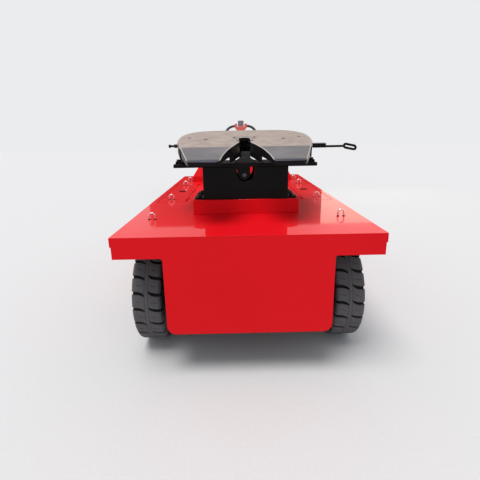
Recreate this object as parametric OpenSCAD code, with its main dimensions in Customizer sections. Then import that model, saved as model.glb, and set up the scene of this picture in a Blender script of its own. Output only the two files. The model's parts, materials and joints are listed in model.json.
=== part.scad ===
// Walk-behind electric tug with a tilting fifth wheel, in millimetres.
// +X right, +Y forward to the tiller, +Z up; the origin is on the ground under the body's middle.
// Inside the modules Y runs forward from the rear panel's face.

/* [Body] */
// Width of the body over its side sheets
body_w = 1400; // [1360:10:1460]
// Length of the body over its end sheets
body_l = 2500; // [2400:10:2600]
// Height of the deck's top above the ground
deck_h = 810; // [790:5:830]
// Thickness of the body's sheets
sheet_t = 6; // [5:1:8]
// Thickness of the chassis plates
chassis_t = 10; // [8:1:12]
// Depth of the lips along the deck's sides
lip_h = 50; // [40:5:60]
// Distance from the rear axle's beam down to the lower edge of the body's middle
belly_drop = 12; // [8:1:20]
// Width of the end panels' deep middle
panel_w = 890; // [860:5:900]
// Radius of the end panels' lower corners
panel_r = 48; // [20:1:60]
// Radius of the end panels' inner corners
inner_r = 14; // [8:1:24]
// Depth of the sheets over the rear wheels
wing_h = 116; // [100:2:130]
// Distance from the rear to the side boxes
box_y = 872; // [860:2:900]
// Distance from the side boxes to the front
box_front = 108; // [90:2:140]
// Height of the side boxes' floor
box_h = 300; // [270:5:330]
// Distance from the steering axis back to the front wheels' bay
well_l = 280; // [260:5:320]

/* [Batteries] */
// Height of the batteries
battery_h = 394; // [340:2:420]
// Distance from the batteries to the chassis
battery_in = 25; // [15:1:40]
// Distance from the batteries to the body's sides
battery_out = 55; // [40:1:80]
// Distance from the batteries to the ends of their boxes
battery_end = 40; // [20:5:80]

/* [Covers] */
// Distance from the side boxes' rear to the covers
cover_back = 13; // [10:1:30]
// Distance from the covers to the hood
cover_front = 145; // [120:5:200]
// Distance from the chassis to the covers
cover_in = 10; // [8:1:20]
// Distance from the covers to the body's sides
cover_out = 35; // [25:1:50]
// Gap around the covers
cover_gap = 5; // [5:0.5:8]
// Distance from the middle plane to the finger slots
slot_x = 552; // [530:2:580]
// Distance from the covers' rear end to the finger slots
slot_back = 490; // [440:10:540]
// Width of the square finger slots
slot_w = 62; // [50:2:80]
// Distance from the covers' ends to the first and last hinge
hinge_end = 100; // [80:5:140]
// Length of one hinge barrel
hinge_len = 30; // [24:1:40]
// Radius of the hinge barrels
hinge_r = 5; // [4:0.5:6]
// Radius of the hinge pins
hinge_pin_r = 2.5; // [2:0.1:3]
// Width of the hinge leaves
leaf_w = 14; // [10:1:20]
// Distance from the middle plane to the wire loops
loop_x = 575; // [560:1:600]
// Width of a wire loop
loop_w = 44; // [36:1:60]
// Height of a wire loop
loop_h = 45; // [36:1:60]
// Radius of the loops' wire
wire_r = 4; // [3:0.5:6]
// Distance from the covers' rear end to their rear loop
loop_back = 97; // [80:1:140]
// Distance from the covers' front end to their front loop
loop_front = 122; // [80:1:160]
// Distance from the rear to the rear lifting loops
eye_back = 362; // [300:2:400]
// Distance from the front to the front lifting loops
eye_front = 431; // [400:2:460]

/* [Rear wheels] */
// Radius of the rear tyres over their lugs
tyre_r = 332; // [325:1:336]
// Width of the rear tyres
tyre_w = 176; // [160:2:184]
// Distance from the middle plane to a rear tyre's middle
track_half = 588; // [580:1:596]
// Distance from the rear to the rear axle
axle_y = 462; // [450:2:480]
// Depth of the grooves between the lugs
lug_h = 18; // [12:1:22]
// Lugs around a rear tyre
lugs = 22; // [18:1:24]
// Turn of the right tyre against the left one, in degrees
lug_turn = 3; // [0:1:8]
// Radius of the rear rims
rim_r = 190; // [180:2:200]
// Width of the rear rims
rim_w = 160; // [140:2:170]
// Thickness of the rear wheels' discs
disc_t = 20; // [14:1:26]
// Radius of the rear wheels' discs
disc_r = 150; // [130:2:160]
// Radius of the axle's ends
stub_r = 35; // [30:1:40]
// Holes in a wheel's disc
disc_holes = 6; // [4:1:8]
// Radius of the rear axle beam
beam_r = 62; // [50:2:70]
// Half length of the rear axle beam
beam_half = 500; // [460:5:510]
// Radius of the axle's gear case
case_r = 120; // [100:5:140]
// Width of the axle's gear case
case_w = 220; // [180:5:260]
// Radius of the drive motor
motor_r = 110; // [90:5:120]
// Length of the drive motor
motor_l = 256; // [200:2:270]
// Height of the drive motor above the axle
motor_rise = 60; // [40:5:80]

/* [Front wheels] */
// Radius of the steered tyres
steer_tyre_r = 206; // [195:1:210]
// Distance from the front to the steering axis
steer_front = 275; // [270:1:290]
// Radius of the steered rims
steer_rim_r = 120; // [110:2:130]
// Distance from the middle plane to a steered tyre's inner side
steer_in = 20; // [18:1:26]
// Distance from the middle plane to a steered tyre's outer side
steer_out = 158; // [150:2:160]
// Radius of the steered wheels' axle
steer_axle_r = 22; // [18:1:26]
// Height of the top of the steering bearing
ring_h = 520; // [500:5:540]
// Thickness of the plate above the steering bearing
ring_plate_t = 20; // [14:1:26]
// Height of the steering bearing
ring_t = 30; // [24:1:36]
// Radius of the steering bearing
ring_r = 150; // [130:2:170]
// Radius of the steering bearing's bore
ring_bore_r = 110; // [90:2:120]
// Thickness of the steered wheels' leg
leg_t = 28; // [22:1:34]
// Length of the steered wheels' leg
leg_l = 120; // [100:2:140]
// Radius of the steering column
column_r = 34; // [28:1:40]

/* [Pedestal] */
// Width of the plinth on the deck
plinth_w = 675; // [650:5:700]
// Length of the plinth
plinth_l = 305; // [295:5:320]
// Height of the plinth
plinth_h = 92; // [84:2:100]
// Distance from the rear to the plinth
plinth_y = 472; // [460:2:484]
// Thickness of the plinth's plates
plinth_t = 12; // [10:1:16]
// Width of the pedestal
ped_w = 540; // [520:5:560]
// Length of the pedestal
ped_l = 270; // [250:5:280]
// Distance from the plinth's rear to the pedestal
ped_back = 18; // [12:1:28]
// Height of the pedestal
ped_h = 204; // [190:2:220]
// Thickness of the pedestal's plates
ped_t = 16; // [12:1:20]
// Width of the notch in the pedestal
notch_w = 113; // [100:1:130]
// Height of the notch's lowest point above the plinth
notch_h = 111; // [96:1:125]
// Width of the feet beside the pedestal
foot_w = 57; // [45:1:64]
// Thickness of the feet
foot_t = 12; // [8:1:16]
// Width of the mounting plate
mount_w = 902; // [880:2:920]
// Length of the mounting plate
mount_l = 310; // [300:5:330]
// Thickness of the mounting plate
mount_t = 22; // [18:1:26]
// Distance from the middle plane to the hanging lug's middle, to the right
lug_x = -7; // [-20:1:20]
// Radius of the hanging lug
lug_r = 38; // [32:1:44]
// Distance from the mounting plate down to the hanging lug's middle
lug_drop = 48; // [40:1:60]
// Thickness of the hanging lug
lug_t = 20; // [14:1:26]
// Half width of the block under the throat at its foot
stop_foot = 69; // [60:1:80]
// Half width of the block under the throat at its top
stop_top = 24; // [18:1:26]
// Height of the block under the throat
stop_h = 38; // [30:1:40]
// Length of the block under the throat
stop_l = 80; // [60:2:100]

/* [Fifth wheel] */
// Distance from the rear to the fifth wheel's pivot
pivot_y = 634; // [620:2:650]
// Height of the pivot above the mounting plate
pivot_rise = 70; // [66:1:76]
// Height of the flat top above the pivot, square to the plate
face_w = 75; // [72:1:80]
// Backward tilt of the plate at rest
tilt_rest = 9; // [7:0.5:10]
// Thickness of the top plate
top_t = 16; // [14:1:20]
// Extra slope of the two ramps
ramp_slope = 7; // [5:0.5:9]
// Distance from the pivot back to the edge between top and ramps
kink_back = 250; // [235:1:265]
// Half width of the kingpin's throat
throat_half = 36; // [34:1:38]
// Distance from the pivot forward to the kingpin's middle, along the plate
seat_v = 45; // [40:1:50]
// Radius of the kingpin's seat
kingpin_r = 25.4; // [25.4:0.1:26]
// Radius of the pivot pins
pin_r = 22; // [18:1:25]
// Thickness of the cast walls under the plate
wall_t = 14; // [10:1:18]
// Depth of the walls under the ramps
wall_h = 58; // [50:1:64]
// Depth of the rim around the plate
rim_drop = 59; // [50:1:64]
// Depth of the walls beside the throat
throat_drop = 78; // [70:1:80]
// Distance from the middle plane to the lengthwise ribs
rib_x = 215; // [190:5:250]
// Depth of the ribs
rib_drop = 40; // [30:1:50]
// Distance from the middle plane to the bearings' middles
boss_x = 372; // [360:2:380]
// Half width of the plate's bosses
boss_half = 20; // [16:1:24]
// Radius of the bosses and of the brackets' ears
boss_r = 36; // [32:1:42]
// Thickness of the brackets' ears
ear_t = 16; // [12:1:18]
// Thickness of the brackets' feet
bracket_t = 14; // [10:1:18]
// Half length of the brackets
bracket_half = 95; // [80:1:110]
// Radius of the bar that drives the jaw
bar_r = 9; // [7:0.5:11]
// Distance from the pivot forward to the bar
bar_v = 95; // [90:1:105]
// Distance from the pivot back to the release handle
handle_back = 113; // [100:1:130]
// Radius of the release rod
handle_r = 7; // [5:0.5:9]

/* [Hood and tiller] */
// Half width of the hood at the deck
hood_half = 536; // [520:4:550]
// Height of the hood
hood_h = 175; // [160:5:190]
// Distance from the front to the hood's rear
hood_front = 500; // [495:1:520]
// Length of the hood
hood_l = 118; // [110:2:120]
// Height of the upright part of the hood's back
hood_step = 55; // [40:5:80]
// Lean of the hood's back
hood_lean = 46; // [30:2:60]
// Thickness of the hood
hood_t = 4; // [3:0.5:6]
// Radius of the neck between column and tiller
neck_r = 78; // [70:1:84]
// Gap around the neck in the deck
neck_gap = 7; // [5:1:12]
// Distance from the steering axis to the tiller's pivot
tiller_lead = 70; // [60:2:80]
// Height of the tiller's pivot above the deck
tiller_rise = 120; // [110:5:140]
// Height of the tiller's top above its pivot
tiller_reach = 528; // [490:2:560]
// Half width of the tiller's arm
arm_half = 24; // [20:1:28]
// Radius of the tiller's pivot pin
arm_pin_r = 12; // [10:0.5:14]
// Radius of the grips
grip_r = 13.5; // [10:0.5:14]
// Radius of the grips' wide bends
grip_arc = 110; // [100:2:120]

/* [Hidden] */
$fn = 64;
// Overrun of cuts past the solids they cut
cut = 1;
// Gap between round faces that turn in each other
run_gap = 0.3;
half_w = body_w / 2;
belly_h = tyre_r - beam_r - belly_drop;
deck_z = deck_h - sheet_t;
wall_x = panel_w / 2;
steer_y = body_l - steer_front;
well_y = steer_y - well_l;
box_l = body_l - box_front - box_y;
hood_y = body_l - hood_front;
ped_y = plinth_y + ped_back;
ped_z = deck_h + plinth_h;
mount_z = ped_z + ped_h;
plate_z = mount_z + mount_t;
pivot_z = plate_z + pivot_rise;
plate_shift = face_w * sin(tilt_rest);
tiller_y = steer_y + tiller_lead;
tiller_z = deck_h + tiller_rise;
tiller_top = tiller_z + tiller_reach;
cover_x0 = wall_x + cover_in;
cover_x1 = half_w - cover_out;
cover_y0 = box_y + cover_back;
cover_y1 = hood_y - cover_front;
hinge_x = cover_x0 - cover_gap / 2;
hinge_ys = [for (i = [0 : 2]) cover_y0 + hinge_end + i * (cover_y1 - cover_y0 - 2 * hinge_end) / 2];
red = [0.78, 0.05, 0.09];
black = [0.05, 0.05, 0.06];
steel = [0.6, 0.6, 0.62];
rubber = [0.12, 0.12, 0.13];

module bx(x0, x1, y0, y1, z0, z1) {
    translate([x0, y0, z0]) cube([x1 - x0, y1 - y0, z1 - z0]);
}

// Box on the left (s = -1) or right, between two distances from the middle plane
module side_bx(s, x0, x1, y0, y1, z0, z1) {
    bx(s > 0 ? x0 : -x1, s > 0 ? x1 : -x0, y0, y1, z0, z1);
}

module rear_origin() {
    translate([0, -body_l / 2, 0]) children();
}

module rod_x(x0, x1, y, z, r) {
    translate([x0, y, z]) rotate([0, 90, 0]) cylinder(h = x1 - x0, r = r);
}

module rod_y(x, y0, y1, z, r) {
    translate([x, y0, z]) rotate([-90, 0, 0]) cylinder(h = y1 - y0, r = r);
}

// Hexagon head of a bolt that stands on a face
bolt_r = 14;
bolt_h = 12;
module bolt_head(x, y, z) {
    translate([x, y, z]) cylinder(h = bolt_h, r = bolt_r, $fn = 6);
}

// Outlines are lists of points; these turn, mirror and shift them
function flip(pts) = [for (i = [len(pts) - 1 : -1 : 0]) pts[i]];
function mirrored(pts) = [for (p = flip(pts)) [-p[0], p[1]]];
function side(pts, s) = [for (p = pts) [s * p[0], p[1]]];
function moved(pts, dx) = [for (p = pts) [p[0] + dx, p[1]]];
// Smooth curve through a list of points, with each span in as many steps as given
function span(a, b, c, d, t) =
    (2 * b + (c - a) * t + (2 * a - 5 * b + 4 * c - d) * t * t + (3 * b - a - 3 * c + d) * t * t * t) / 2;
function smooth(pts, steps = 3) = let(n = len(pts) - 1)
    concat([for (i = [0 : n - 1], k = [0 : steps - 1])
            span(pts[max(i - 1, 0)], pts[i], pts[i + 1], pts[min(i + 2, n)], k / steps)], [pts[n]]);

// Chassis between the wheels
module chassis_frame() {
    in_x = wall_x - chassis_t;
    color(black) rear_origin() difference() {
        union() {
            for (s = [-1, 1])
                side_bx(s, in_x, wall_x, sheet_t, body_l - sheet_t, belly_h, deck_z);
            for (y = [box_y, well_y])
                bx(-in_x, in_x, y - chassis_t, y, belly_h, deck_z);
            bx(-in_x, in_x, box_y, well_y - chassis_t, belly_h, belly_h + chassis_t);
            bx(-in_x, in_x, well_y, body_l - sheet_t, ring_h, ring_h + ring_plate_t);
        }
        rod_x(-half_w, half_w, axle_y, tyre_r, beam_r);
        translate([0, steer_y, ring_h - cut])
            cylinder(h = ring_plate_t + 2 * cut, r = (column_r + neck_r + neck_gap) / 2);
    }
}

// Sheet with a deep middle and shallow wings
module end_panel() {
    wing_z = deck_h - wing_h;
    bx(-half_w, half_w, 0, sheet_t, wing_z, deck_z);
    bx(-wall_x, wall_x, 0, sheet_t, belly_h + panel_r, wing_z);
    bx(panel_r - wall_x, wall_x - panel_r, 0, sheet_t, belly_h, belly_h + panel_r);
    for (s = [-1, 1]) {
        rod_y(s * (wall_x - panel_r), 0, sheet_t, belly_h + panel_r, panel_r);
        difference() {
            side_bx(s, wall_x, wall_x + inner_r, 0, sheet_t, wing_z - inner_r, wing_z);
            rod_y(s * (wall_x + inner_r), -cut, sheet_t + cut, wing_z - inner_r, inner_r);
        }
    }
}

// Sheet that closes the rear
module rear_panel() {
    color(red) rear_origin() end_panel();
}

// Sheet that closes the front
module front_panel() {
    color(red) rear_origin() translate([0, body_l - sheet_t, 0]) end_panel();
}

// One barrel of a cover's hinge with its leaf; part -1 is the deck's, with the pin, and 1 the cover's
module knuckle(s, y, part) {
    barrel = hinge_len - cut;
    translate([s * hinge_x, y, deck_h + hinge_r]) rotate([-90, 0, 0]) {
        difference() {
            union() {
                translate([0, 0, -barrel / 2]) cylinder(h = barrel, r = hinge_r);
                translate([s * part > 0 ? 0 : -leaf_w, 0, -barrel / 2]) cube([leaf_w, hinge_r, barrel]);
            }
            if (part > 0)
                translate([0, 0, -hinge_len]) cylinder(h = 2 * hinge_len, r = hinge_pin_r + run_gap);
        }
        if (part < 0)
            translate([0, 0, -0.6 * hinge_len]) cylinder(h = 1.2 * hinge_len, r = hinge_pin_r);
    }
}

// Deck with its lips, open over the batteries and round the tiller's neck
module deck_plate() {
    color(red) rear_origin() {
        difference() {
            bx(-half_w - sheet_t, half_w + sheet_t, 0, body_l, deck_z, deck_h);
            for (s = [-1, 1])
                side_bx(s, cover_x0 - cover_gap, cover_x1 + cover_gap, cover_y0 - cover_gap,
                        cover_y1 + cover_gap, deck_z - cut, deck_h + cut);
            translate([0, steer_y, deck_z - cut]) cylinder(h = sheet_t + 2 * cut, r = neck_r + neck_gap);
        }
        for (s = [-1, 1]) {
            side_bx(s, half_w, half_w + sheet_t, 0, body_l, deck_h - lip_h, deck_z);
            for (y = hinge_ys, d = [-1, 1]) knuckle(s, y + d * hinge_len, -1);
        }
    }
}

// Sheets over the rear wheels
module skirt(s) {
    color(red) rear_origin()
        side_bx(s, half_w - sheet_t, half_w, sheet_t, box_y, deck_h - wing_h, deck_z);
}

module skirt_left() { skirt(-1); }
module skirt_right() { skirt(1); }

// Boxes along the sides for the batteries
module side_box(s) {
    color(red) rear_origin() difference() {
        side_bx(s, wall_x, half_w, box_y, box_y + box_l, box_h, deck_z);
        side_bx(s, wall_x + sheet_t, half_w - sheet_t, box_y + sheet_t, box_y + box_l - sheet_t,
                box_h + sheet_t, deck_z + cut);
    }
}

module side_box_left() { side_box(-1); }
module side_box_right() { side_box(1); }

// Plain blocks for the batteries
module battery(s) {
    floor_z = box_h + sheet_t;
    color(black) rear_origin()
        side_bx(s, wall_x + battery_in, half_w - battery_out, box_y + battery_end,
                box_y + box_l - battery_end, floor_z, floor_z + battery_h);
}

module battery_left() { battery(-1); }
module battery_right() { battery(1); }

// Hinged covers in the deck, each with a finger slot
module cover(s) {
    slot_y = cover_y0 + slot_back;
    color(red) rear_origin() difference() {
        union() {
            side_bx(s, cover_x0, cover_x1, cover_y0, cover_y1, deck_z, deck_h);
            for (y = hinge_ys) knuckle(s, y, 1);
        }
        side_bx(s, slot_x - slot_w / 2, slot_x + slot_w / 2, slot_y - slot_w / 2, slot_y + slot_w / 2,
                deck_z - cut, deck_h + cut);
    }
}

module cover_left() { cover(-1); }
module cover_right() { cover(1); }

// Wire loop that stands on the deck
module wire_loop(x, y) {
    bend_r = loop_w / 2 - wire_r;
    leg = loop_h - loop_w / 2;
    translate([x, y, deck_h]) {
        for (s = [-1, 1])
            translate([s * bend_r, 0, 0]) cylinder(h = leg, r = wire_r);
        translate([0, 0, leg]) rotate([90, 0, 0])
            rotate_extrude(angle = 180) translate([bend_r, 0]) circle(r = wire_r);
    }
}

// Loops that lift the covers
module cover_handles(s) {
    color(steel) rear_origin()
        for (y = [cover_y0 + loop_back, cover_y1 - loop_front]) wire_loop(s * loop_x, y);
}

module cover_handles_left() { cover_handles(-1); }
module cover_handles_right() { cover_handles(1); }

// Loops for slinging the machine
module lifting_eyes() {
    color(steel) rear_origin()
        for (s = [-1, 1], y = [eye_back, body_l - eye_front]) wire_loop(s * loop_x, y);
}

// Welded box that carries the pedestal
module plinth() {
    half = plinth_w / 2;
    color(red) rear_origin() difference() {
        bx(-half, half, plinth_y, plinth_y + plinth_l, deck_h, ped_z);
        bx(plinth_t - half, half - plinth_t, plinth_y + plinth_t, plinth_y + plinth_l - plinth_t,
           deck_h - cut, ped_z - plinth_t);
    }
}

// Column under the fifth wheel, notched at both ends
module pedestal() {
    half = ped_w / 2;
    notch_z = ped_z + notch_h + notch_w / 2;
    color(black) rear_origin() difference() {
        bx(-half, half, ped_y, ped_y + ped_l, ped_z, mount_z);
        bx(ped_t - half, half - ped_t, ped_y + ped_t, ped_y + ped_l - ped_t, ped_z - cut, mount_z + cut);
        bx(-notch_w / 2, notch_w / 2, ped_y - cut, ped_y + ped_l + cut, notch_z, mount_z + cut);
        rod_y(0, ped_y - cut, ped_y + ped_l + cut, notch_z, notch_w / 2);
    }
}

// Feet beside the pedestal, each with its bolt: [distance from the plinth's rear, length]
foot_rows = [[73, 82], [231, 76]];
module pedestal_feet() {
    color(black) rear_origin() for (s = [-1, 1], row = foot_rows) {
        y = plinth_y + row[0];
        side_bx(s, ped_w / 2, ped_w / 2 + foot_w, y - row[1] / 2, y + row[1] / 2, ped_z, ped_z + foot_t);
        bolt_head(s * (ped_w + foot_w) / 2, y, ped_z + foot_t);
    }
}

// Lug that hangs in the pedestal's notch, with its bolt
lug_back = 22;
lug_slant = 16;
lug_bolt_r = 12;
lug_bolt_out = 8;
lug_bolt_drop = 6;
module lift_lug() {
    y0 = ped_y + lug_back;
    z = mount_z - lug_drop;
    color(black) rear_origin() {
        rod_y(lug_x, y0, y0 + lug_t, z, lug_r);
        translate([lug_x, y0 + lug_t, z]) rotate([90, 0, 0]) linear_extrude(height = lug_t)
            polygon([[-lug_r, 0], [lug_r, 0], [lug_r, lug_drop], [-lug_r - lug_slant, lug_drop]]);
        rod_y(lug_x, y0 - lug_bolt_out, y0 + lug_t + lug_bolt_out, z - lug_bolt_drop, lug_bolt_r);
    }
}

// Block between the brackets, under the throat
stop_edge = 8;
stop_back = 12;
module tilt_stop() {
    half = [[stop_foot, 0], [stop_foot, stop_edge], [stop_top, stop_h]];
    color(black) rear_origin() translate([0, ped_y + stop_back + stop_l, plate_z]) rotate([90, 0, 0])
        linear_extrude(height = stop_l) polygon(concat(half, mirrored(half)));
}

// Plate that carries the fifth wheel's brackets
module mounting_plate() {
    color(black) rear_origin() bx(-mount_w / 2, mount_w / 2, ped_y, ped_y + mount_l, mount_z, plate_z);
}

// Brackets that hold the pivot pins
bracket_in = 52;
bracket_out = 73;
bracket_bolt_in = 25;
boss_gap = 2;
module bearing_bracket(s) {
    top_z = plate_z + bracket_t;
    inner = boss_half + boss_gap;
    color(black) rear_origin() {
        side_bx(s, boss_x - bracket_in, boss_x + bracket_out, pivot_y - bracket_half,
                pivot_y + bracket_half, plate_z, top_z);
        for (x0 = [boss_x - inner - ear_t, boss_x + inner]) {
            side_bx(s, x0, x0 + ear_t, pivot_y - boss_r, pivot_y + boss_r, plate_z, pivot_z);
            rod_x(s > 0 ? x0 : -x0 - ear_t, s > 0 ? x0 + ear_t : -x0, pivot_y, pivot_z, boss_r);
        }
        rod_x(s * boss_x - inner - ear_t, s * boss_x + inner + ear_t, pivot_y, pivot_z, pin_r);
        for (d = [-1, 1])
            bolt_head(s * (boss_x + bracket_out - bolt_r - 3),
                      pivot_y + d * (bracket_half - bracket_bolt_in), top_z);
    }
}

module bearing_bracket_left() { bearing_bracket(-1); }
module bearing_bracket_right() { bearing_bracket(1); }

// Half of the flat top's outline, from the front's middle back to the kink: [across, forward of the pivot]
top_points = [[0, 400], [150, 395], [270, 385], [345, 350], [402, 285], [434, 190], [441, 100],
              [438, 20], [428, -60], [408, -155], [386, -kink_back]];
flat_outer = smooth(top_points);
top_side = max([for (p = top_points) p[0]]);
// Half of the throat's mouth, from the kink to the throat: [across, forward of the pivot]
mouth = [[84, -kink_back], [58, -160], [throat_half, -95]];
// Half of a ramp's outline, measured from the kink: [across, forward]
ramp_l = 240;
outer_points = [[386, 0], [350, -120], [325, -205], [316, -228], [296, -ramp_l]];
inner_points = [[164, -ramp_l], [146, -228], [138, -195], [129, -140], [106, -57], [84, 0]];
ramp_outer = smooth(outer_points);
ramp_inner = smooth(inner_points);
// Depth of the rolled rim at a ramp's end
ramp_end = 26;
// Grease holes in the flat top: [across, forward of the pivot]
grease_holes = [[372, 81], [256, 8], [68, 77]];
grease_r = 11;
grease_depth = 6;
// Shallow notch in each side of the throat
notch_x = 60;
notch_v = -45;
notch_half = 7;
// Rim under the flat top, as parts of the outline's own size: [outside, inside]
rim_scale = [1.012, 0.97];
rim_below = 8;
// Crosswise ribs: [forward of the pivot, distance from the middle plane where they start]
cross_ribs = [[46, 72], [210, 0]];
rib_back = 200;
rib_front = 370;
bar_w = 30;
throat_wall_v = -15;

// Axes of the fifth wheel: pivot at the origin, third axis square to the plate
module plate_axes() {
    rear_origin() translate([0, pivot_y, pivot_z]) rotate([tilt_rest, 0, 0]) children();
}

// Axes of the ramps: origin on the kink, second axis up the slope
module ramp_axes() {
    translate([0, plate_shift - kink_back, face_w]) rotate([ramp_slope, 0, 0]) children();
}

module flat_shape() {
    difference() {
        polygon(concat(flat_outer, mouth, mirrored(mouth), mirrored(flat_outer)));
        translate([0, seat_v]) circle(r = throat_half);
        translate([-throat_half, mouth[2][1] - cut]) square([2 * throat_half, seat_v - mouth[2][1] + cut]);
    }
}

module rim_shape() {
    outer = concat(flat_outer, mirrored(flat_outer));
    difference() {
        scale([rim_scale[0], rim_scale[0]]) polygon(outer);
        scale([rim_scale[1], rim_scale[1]]) polygon(outer);
        translate([6 - ramp_outer[0][0], -kink_back - 20]) square([2 * ramp_outer[0][0] - 12, 40]);
    }
}

// Rim that runs round a ramp on its three free sides
module ramp_rim(s) {
    difference() {
        polygon(side(concat(ramp_outer, ramp_inner), s));
        polygon(side(concat([[ramp_outer[0][0] - wall_t, cut]],
                            [for (p = ramp_outer) [p[0] - wall_t, max(p[1], wall_t - ramp_l)]],
                            [for (p = ramp_inner) [p[0] + wall_t, max(p[1], wall_t - ramp_l)]],
                            [[ramp_inner[len(ramp_inner) - 1][0] + wall_t, cut]]), s));
    }
}

// Wall of a cast piece, wall_t thick towards the side, that follows an outline on one side
module wall(pts, s) {
    polygon(side(concat(pts, flip(moved(pts, wall_t))), s));
}

// Wall across the front of the jaw, with its rib: [forward of the pivot, half width, depth below the pivot]
front_wall = [131, 70, 41];
// Welded ribs under the flat top, between the bosses, the rim and the throat
module plate_ribs() {
    top = face_w - top_t;
    color(steel) plate_axes() difference() {
        for (s = [-1, 1]) {
            for (row = cross_ribs)
                side_bx(s, row[1], boss_x - boss_half, row[0], row[0] + wall_t, top - rib_drop, top);
            side_bx(s, rib_x, rib_x + wall_t, -rib_back, rib_front, top - rib_drop, top);
            side_bx(s, 0, front_wall[1], front_wall[0], front_wall[0] + wall_t, -front_wall[2], top);
            side_bx(s, 0, wall_t / 2, front_wall[0], cross_ribs[1][0] + wall_t, top - rib_drop, top);
        }
        rod_x(0, boss_x, bar_v, bar_w, bar_r + run_gap);
    }
}

// Tilting plate that takes the trailer's weight
module fifth_wheel_plate() {
    top = face_w - top_t;
    color(steel) plate_axes() difference() {
        union() {
            translate([0, plate_shift, 0]) {
                translate([0, 0, top]) linear_extrude(height = top_t) flat_shape();
                translate([0, 0, face_w - rim_below - rim_drop])
                    linear_extrude(height = rim_drop) rim_shape();
                translate([0, 0, top - throat_drop]) linear_extrude(height = throat_drop + cut)
                    for (s = [-1, 1]) wall(concat(mouth, [[throat_half, throat_wall_v]]), s);
            }
            ramp_axes() for (s = [-1, 1]) {
                translate([0, 0, -top_t]) linear_extrude(height = top_t)
                    polygon(side(concat(ramp_outer, ramp_inner), s));
                intersection() {
                    translate([0, 0, -wall_h]) linear_extrude(height = wall_h - top_t + cut) ramp_rim(s);
                    translate([-top_side, 0, 0]) rotate([90, 0, 90]) linear_extrude(height = 2 * top_side)
                        polygon([[0, -wall_h], [-ramp_l, -ramp_end], [-ramp_l, 0], [0, 0]]);
                }
            }
            for (s = [-1, 1]) {
                side_bx(s, boss_x - boss_half, boss_x + boss_half, -60, 60, 0, top + cut);
                rod_x(s * boss_x - boss_half, s * boss_x + boss_half, 0, 0, boss_r);
            }
        }
        for (s = [-1, 1])
            rod_x(s * boss_x - boss_half - cut, s * boss_x + boss_half + cut, 0, 0, pin_r + run_gap);
        rod_x(link_x[1], top_side, -handle_back, handle_w, handle_r + run_gap);
        for (s = [-1, 1])
            side_bx(s, throat_half - cut, notch_x, notch_v - notch_half, notch_v + notch_half,
                    face_w - grease_depth, face_w + cut);
        for (s = [-1, 1], h = grease_holes)
            translate([s * h[0], h[1] + plate_shift, face_w - grease_depth])
                cylinder(h = grease_depth + cut, r = grease_r);
    }
}

// Jaw that closes on the kingpin: [back, front] of its seat, and its side
jaw_v = [-38, 72];
jaw_side = 34;
jaw_h = 39.5;
jaw_gap = 0.5;
module lock_jaw() {
    half = throat_half + jaw_side;
    top = face_w - top_t - jaw_gap;
    color(black) plate_axes() translate([0, seat_v + plate_shift, 0]) difference() {
        bx(-half, half, jaw_v[0], jaw_v[1], top - jaw_h, top);
        translate([0, 0, top - jaw_h - cut]) cylinder(h = jaw_h + 2 * cut, r = kingpin_r);
        bx(-kingpin_r, kingpin_r, jaw_v[0] - cut, 0, top - jaw_h - cut, top + cut);
    }
}

// Release rod: a link under the flat top, a block outside its rim, and a pull ring
link_x = [393, 398];
link_w = [20, 42, 58];
block_x = [424, 503];
block_w = [39, 64];
handle_w = 44;
ring_len = 52;
ring_ends = [18, 16];
ring_hole = [8, 6];
ring_w = 8;
ring_x = 655;
ring_slope = 12;
module pull_ring() {
    far = ring_len / 2 + 3;
    near = ring_len / 2 - 3;
    translate([ring_x, 4 - handle_back, handle_w - 4]) rotate([90, ring_slope, 0]) difference() {
        union() {
            translate([-near, 0, 0]) cylinder(h = ring_w, r = ring_ends[0]);
            translate([far, 0, 0]) cylinder(h = ring_w, r = ring_ends[1]);
            translate([-near, -ring_ends[1], 0]) cube([ring_len, 2 * ring_ends[1], ring_w]);
        }
        translate([-near, 0, -cut]) cylinder(h = ring_w + 2 * cut, r = ring_hole[0]);
        translate([far, 0, -cut]) cylinder(h = ring_w + 2 * cut, r = ring_hole[1]);
        translate([-near, -ring_hole[1], -cut]) cube([ring_len, 2 * ring_hole[1], ring_w + 2 * cut]);
    }
}

module release_handle() {
    color(black) plate_axes() {
        bx(link_x[0], link_x[1], -handle_back - 8, bar_v + 14, link_w[1], link_w[2]);
        bx(link_x[0], link_x[1], -handle_back - 8, 14 - handle_back, handle_w - handle_r - 2, link_w[2]);
        bx(link_x[0], link_x[1], bar_v - 14, bar_v + 14, link_w[0], link_w[2]);
        bx(block_x[0], block_x[1], -handle_back - 15, 15 - handle_back, block_w[0], block_w[1]);
        rod_x(link_x[0], ring_x - ring_len / 2 - 8, -handle_back, handle_w, handle_r);
        rod_x(throat_half + jaw_side, link_x[1], bar_v, bar_w, bar_r);
        pull_ring();
    }
}

// Stub of the lock's lever on the left
// Places of its steps from the end to the plate, and their radii
stub_x = [475, 463, 441, 422.8];
stub_r3 = [10, 6.5, 11];
stub_w = 61;
module lever_stub() {
    color(black) plate_axes() for (i = [0 : 2])
        rod_x(-stub_x[i], -stub_x[i + 1], -handle_back, stub_w, stub_r3[i]);
}

// Beam between the rear wheels, with its gear case and the motor's flange
flange_half = 90;
module rear_axle() {
    color(black) rear_origin() {
        rod_x(-beam_half, beam_half, axle_y, tyre_r, beam_r - run_gap);
        rod_x(-case_w / 2, case_w / 2, axle_y, tyre_r, case_r);
        bx(-flange_half, flange_half, axle_y, axle_y + case_r + 2, tyre_r - 40,
           tyre_r + motor_rise + flange_half);
        rod_x(-track_half, track_half, axle_y, tyre_r, stub_r);
    }
}

// Plain block for the drive motor
module drive_motor() {
    y0 = axle_y + case_r + 2;
    color(black) rear_origin() rod_y(0, y0, y0 + motor_l, tyre_r + motor_rise, motor_r);
}

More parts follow.
